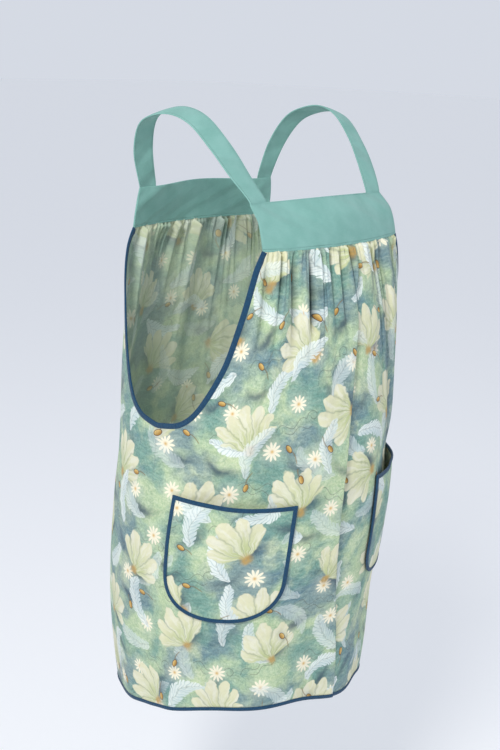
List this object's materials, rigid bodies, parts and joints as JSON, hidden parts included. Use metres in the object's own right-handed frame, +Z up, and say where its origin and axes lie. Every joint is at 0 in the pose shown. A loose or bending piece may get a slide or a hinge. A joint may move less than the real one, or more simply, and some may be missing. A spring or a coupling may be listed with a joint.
{
  "type": "pinafore smock apron",
  "caption": "Pull-on smock apron with square yokes, shoulder straps, a gathered printed body, deep bound armholes and bound patch pockets, in its worn shape.",
  "frame": {"origin": "midway between the two straps, where they rest on top of the shoulders", "axes": "+Z up along the wearer, +X towards the wearer's left, so the front looks along -Y"},
  "size_m": [0.3957, 0.3953, 0.8704],
  "materials": {
    "printed_cotton": "matte plain weave, printed",
    "plain_cotton": "matte plain weave",
    "binding_tape": "matte bias tape"
  },
  "bodies": {
    "root": {"front_panel": "printed_cotton", "back_panel": "printed_cotton", "front_yoke": "plain_cotton", "back_yoke": "plain_cotton", "strap_left": "plain_cotton", "strap_right": "plain_cotton", "armhole_binding_left": "binding_tape", "armhole_binding_right": "binding_tape", "hem_binding": "binding_tape", "pocket_left": "printed_cotton", "pocket_binding_left": "binding_tape", "pocket_right": "printed_cotton", "pocket_binding_right": "binding_tape"}
  },
  "joints": []
}
